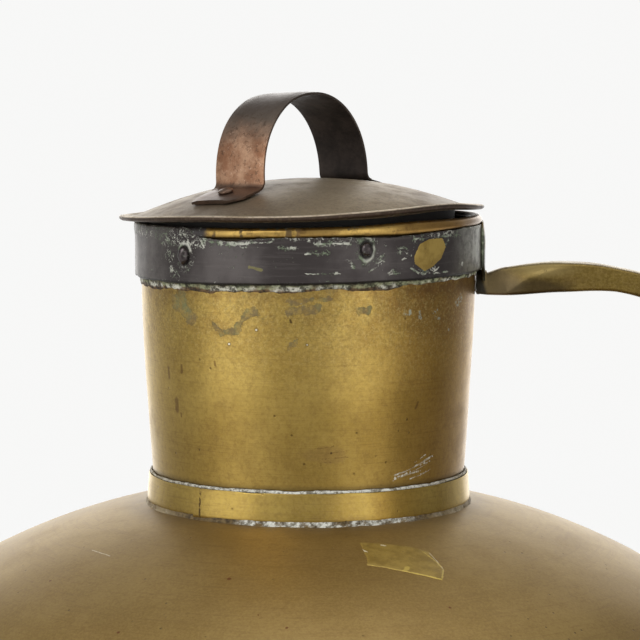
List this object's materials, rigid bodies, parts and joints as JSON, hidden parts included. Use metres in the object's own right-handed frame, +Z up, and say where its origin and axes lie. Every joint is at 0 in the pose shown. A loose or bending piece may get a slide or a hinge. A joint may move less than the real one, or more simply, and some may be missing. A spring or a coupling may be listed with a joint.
{
  "type": "lidded milk can",
  "caption": "Antique brass milk can with a beaded neck in a riveted hoop, a forged side handle and a lift-off strap-handled lid.",
  "frame": {"origin": "centre of the flat bottom disc's underside, on the can's axis", "axes": "+Z up along the can's axis, +X towards the side handle, -Y is the front"},
  "size_m": [0.3534, 0.34, 0.3737],
  "materials": {
    "can_brass": "aged satin",
    "handle_brass": "worn satin with olive patina",
    "band_iron": "dark with pale oxide",
    "lid_bronze": "dark brown patina",
    "strap_copper": "worn copper brown"
  },
  "bodies": {
    "can": {"lower_bowl": "can_brass", "base_disc": "can_brass", "shoulder_shell": "can_brass", "neck_tube": "can_brass", "neck_collar": "can_brass", "rim_bead": "can_brass", "side_handle": "handle_brass", "belly_patch": "handle_brass", "handle_foot_rivet_1": "handle_brass", "handle_foot_rivet_2": "handle_brass", "handle_foot_rivet_3": "handle_brass", "rim_band": "band_iron", "rim_wire": "band_iron", "band_rivet_1": "band_iron", "band_rivet_2": "band_iron", "band_rivet_3": "band_iron", "band_rivet_4": "band_iron", "handle_top_rivet_1": "handle_brass", "handle_top_rivet_2": "handle_brass"},
    "lid": {"lid_shell": "lid_bronze", "lid_skirt": "lid_bronze", "lid_strap": "strap_copper", "strap_rivet_1": "strap_copper", "strap_rivet_2": "strap_copper", "strap_rove_1": "strap_copper", "strap_rove_2": "strap_copper"}
  },
  "joints": [
    {"name": "lid_lift", "type": "slide", "parent": "can", "child": "lid", "axis": [0, 0, 1], "range_m": [0, 0.12]}
  ]
}
